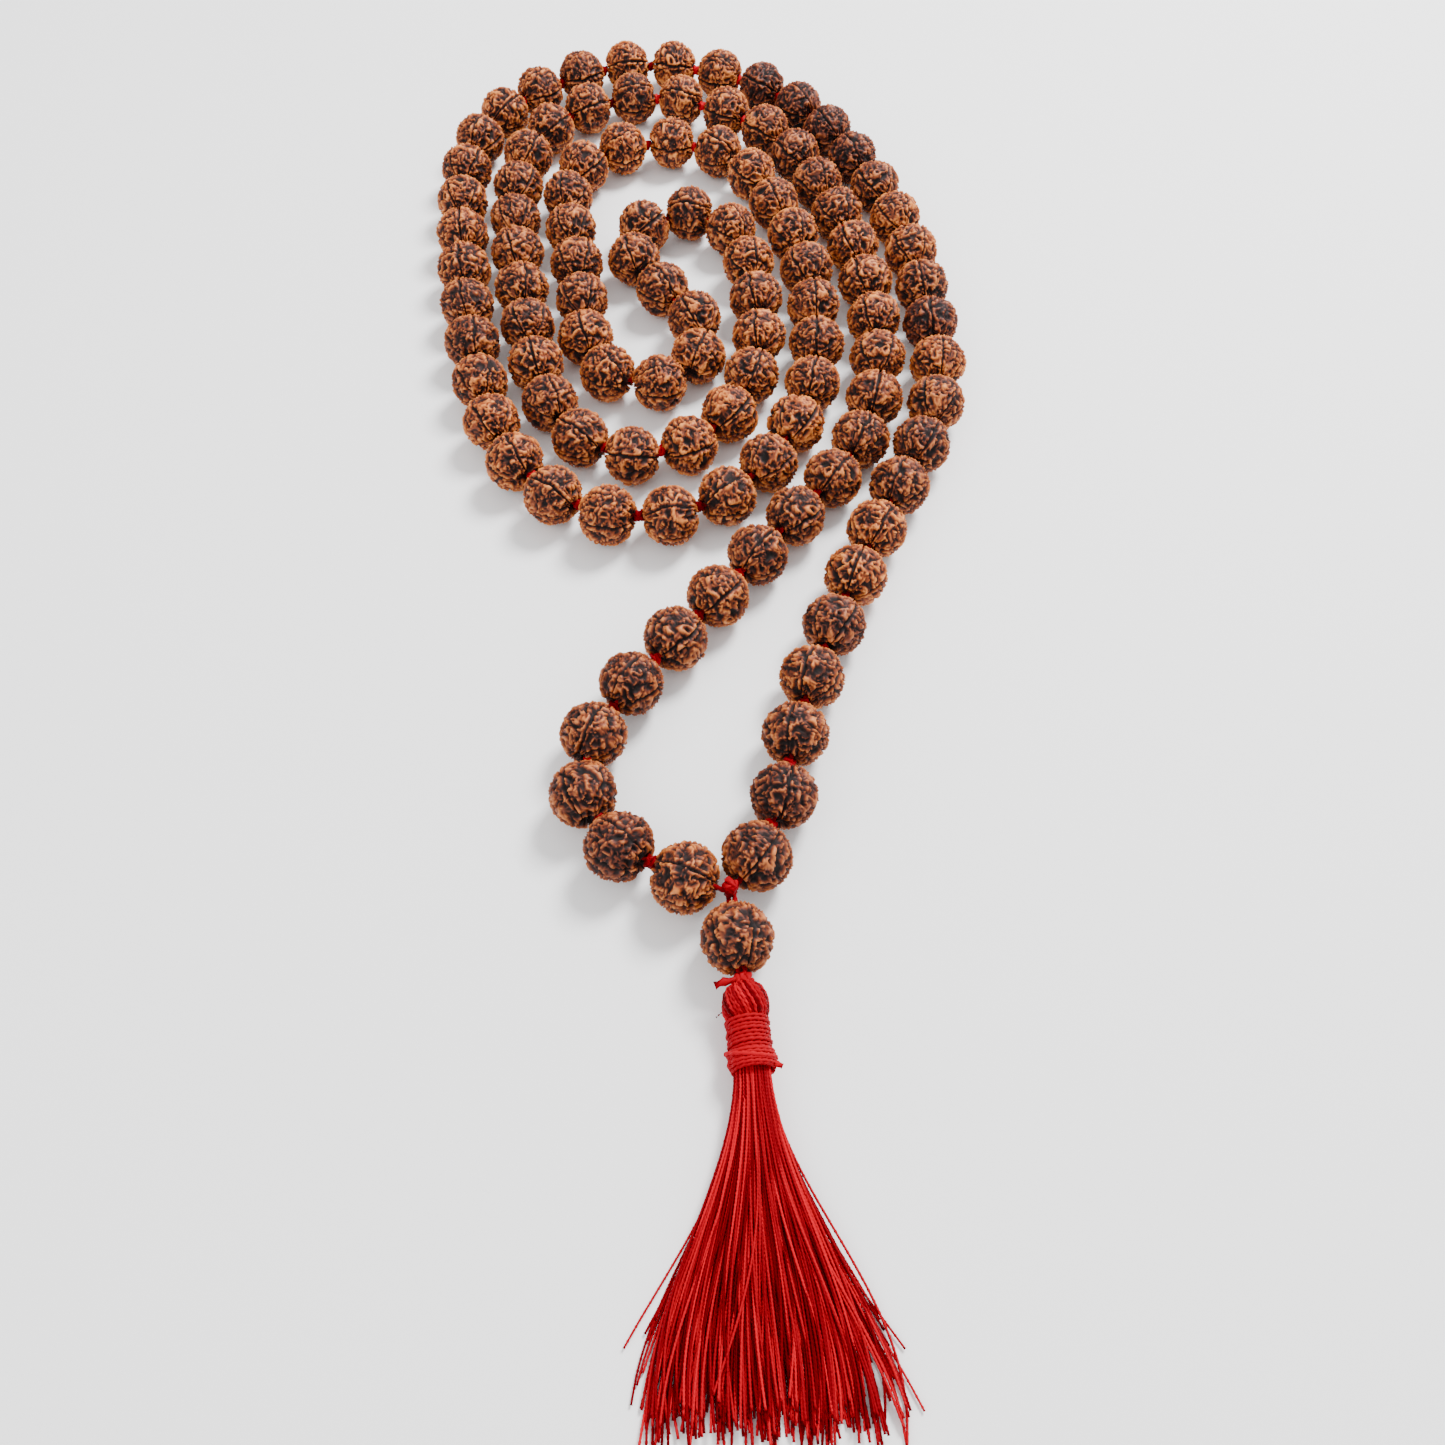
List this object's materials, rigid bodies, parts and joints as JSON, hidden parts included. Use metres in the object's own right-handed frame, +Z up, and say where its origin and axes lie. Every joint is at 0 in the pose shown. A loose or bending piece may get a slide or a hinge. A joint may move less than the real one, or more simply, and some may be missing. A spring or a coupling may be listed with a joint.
{
  "type": "mala prayer beads",
  "caption": "Knotted mala of 108 five-furrowed rudraksha seed beads and a guru bead, laid in a double spiral, with a bound red silk tassel.",
  "frame": {"origin": "middle of the outline, on the table that the mala lies on", "axes": "+Z up from the table, +Y away from the tassel along the longest side, +X to the right"},
  "size_m": [0.1204, 0.3198, 0.012],
  "materials": {
    "seed": "satin",
    "silk": "satin"
  },
  "bodies": {
    "lying_strand": {"beads_009_to_018": "seed", "beads_019_to_028": "seed", "beads_029_to_038": "seed", "beads_039_to_048": "seed", "beads_049_to_058": "seed", "beads_059_to_068": "seed", "beads_069_to_078": "seed", "beads_079_to_088": "seed", "beads_089_to_098": "seed", "beads_099_to_100": "seed", "thread_30_54": "silk", "thread_54_78": "silk", "thread_6_30": "silk", "thread_78_101": "silk"},
    "rear_link": {"thread_left_4_6": "silk", "thread_right_4_6": "silk"},
    "middle_link": {"thread_left_2_4": "silk", "thread_right_2_4": "silk"},
    "front_link": {"front_left_thread": "silk", "front_thread_and_closing_knot": "silk"},
    "bead_001": {"bead_001": "seed"},
    "bead_002": {"bead_002": "seed"},
    "bead_003": {"bead_003": "seed"},
    "bead_004": {"bead_004": "seed"},
    "bead_005": {"bead_005": "seed"},
    "bead_006": {"bead_006": "seed"},
    "bead_007": {"bead_007": "seed"},
    "bead_008": {"bead_008": "seed"},
    "bead_101": {"bead_101": "seed"},
    "bead_102": {"bead_102": "seed"},
    "bead_103": {"bead_103": "seed"},
    "bead_104": {"bead_104": "seed"},
    "bead_105": {"bead_105": "seed"},
    "bead_106": {"bead_106": "seed"},
    "bead_107": {"bead_107": "seed"},
    "bead_108": {"bead_108": "seed"},
    "guru_link": {"guru_thread": "silk"},
    "guru": {"guru_bead": "seed"},
    "tie": {"tie_knot": "silk"},
    "tassel": {"tassel_head": "silk", "tassel_binding": "silk"},
    "skirt": {"tassel_skirt": "silk"}
  },
  "joints": [
    {"name": "rear_fold", "type": "hinge", "parent": "lying_strand", "child": "rear_link", "pos_m": [0.02331, -0.01556, 0.006], "axis": [-0.973, -0.2306, 0], "range_deg": [-25, 25]},
    {"name": "middle_fold", "type": "hinge", "parent": "rear_link", "child": "middle_link", "pos_m": [0.01095, -0.03721, 0.006], "axis": [-0.9976, -0.0692, 0], "range_deg": [-25, 25]},
    {"name": "front_fold", "type": "hinge", "parent": "middle_link", "child": "front_link", "pos_m": [0.00135, -0.06017, 0.006], "axis": [-1, 0.0073, 0], "range_deg": [-25, 25]},
    {"name": "spin_001", "type": "hinge", "parent": "front_link", "child": "bead_001", "pos_m": [0.01374, -0.07791, 0.006], "axis": [0.5624, 0.8269, 0], "continuous": true},
    {"name": "spin_002", "type": "hinge", "parent": "front_link", "child": "bead_002", "pos_m": [0.01842, -0.0665, 0.006], "axis": [0.1797, 0.9837, 0], "continuous": true},
    {"name": "spin_003", "type": "hinge", "parent": "middle_link", "child": "bead_003", "pos_m": [0.02077, -0.05413, 0.006], "axis": [0.194, 0.981, 0], "continuous": true},
    {"name": "spin_004", "type": "hinge", "parent": "middle_link", "child": "bead_004", "pos_m": [0.02419, -0.04204, 0.006], "axis": [0.348, 0.9375, 0], "continuous": true},
    {"name": "spin_005", "type": "hinge", "parent": "rear_link", "child": "bead_005", "pos_m": [0.02871, -0.03028, 0.006], "axis": [0.3695, 0.9292, 0], "continuous": true},
    {"name": "spin_006", "type": "hinge", "parent": "rear_link", "child": "bead_006", "pos_m": [0.03329, -0.01854, 0.006], "axis": [0.3575, 0.9339, 0], "continuous": true},
    {"name": "spin_007", "type": "hinge", "parent": "lying_strand", "child": "bead_007", "pos_m": [0.03807, -0.00689, 0.006], "axis": [0.4018, 0.9157, 0], "continuous": true},
    {"name": "spin_008", "type": "hinge", "parent": "lying_strand", "child": "bead_008", "pos_m": [0.04336, 0.00454, 0.006], "axis": [0.4378, 0.8991, 0], "continuous": true},
    {"name": "spin_101", "type": "hinge", "parent": "lying_strand", "child": "bead_101", "pos_m": [0.01481, -0.01338, 0.006], "axis": [-0.5919, -0.806, 0], "continuous": true},
    {"name": "spin_102", "type": "hinge", "parent": "rear_link", "child": "bead_102", "pos_m": [0.00723, -0.02344, 0.006], "axis": [-0.6111, -0.7915, 0], "continuous": true},
    {"name": "spin_103", "type": "hinge", "parent": "rear_link", "child": "bead_103", "pos_m": [-0.00055, -0.03335, 0.006], "axis": [-0.6238, -0.7816, 0], "continuous": true},
    {"name": "spin_104", "type": "hinge", "parent": "middle_link", "child": "bead_104", "pos_m": [-0.00819, -0.04337, 0.006], "axis": [-0.5894, -0.8079, 0], "continuous": true},
    {"name": "spin_105", "type": "hinge", "parent": "middle_link", "child": "bead_105", "pos_m": [-0.01438, -0.05425, 0.006], "axis": [-0.3929, -0.9196, 0], "continuous": true},
    {"name": "spin_106", "type": "hinge", "parent": "front_link", "child": "bead_106", "pos_m": [-0.01548, -0.06619, 0.006], "axis": [0.2177, -0.976, 0], "continuous": true},
    {"name": "spin_107", "type": "hinge", "parent": "front_link", "child": "bead_107", "pos_m": [-0.00906, -0.0761, 0.006], "axis": [0.8017, -0.5978, 0], "continuous": true},
    {"name": "spin_108", "type": "hinge", "parent": "front_link", "child": "bead_108", "pos_m": [0.00196, -0.08188, 0.006], "axis": [0.9479, -0.3185, 0], "continuous": true},
    {"name": "guru_lift", "type": "hinge", "parent": "front_link", "child": "guru_link", "pos_m": [0.00936, -0.08436, 0.006], "axis": [-1, 0, 0], "range_deg": [-20, 20]},
    {"name": "guru_spin", "type": "hinge", "parent": "guru_link", "child": "guru", "pos_m": [0.01037, -0.09244, 0.006], "axis": [-0.124, 0.9923, 0], "continuous": true},
    {"name": "tassel_yaw", "type": "hinge", "parent": "guru_link", "child": "tie", "pos_m": [0.01126, -0.09958, 0.006], "axis": [0, 0, 1], "range_deg": [-25, 25]},
    {"name": "tassel_lift", "type": "hinge", "parent": "tie", "child": "tassel", "pos_m": [0.01126, -0.09958, 0.006], "axis": [-0.9945, -0.1045, 0], "range_deg": [-20, 45]},
    {"name": "skirt_lift", "type": "hinge", "parent": "tassel", "child": "skirt", "pos_m": [0.01303, -0.11644, 0.0036], "axis": [-1, 0, 0], "range_deg": [-25, 60]}
  ]
}
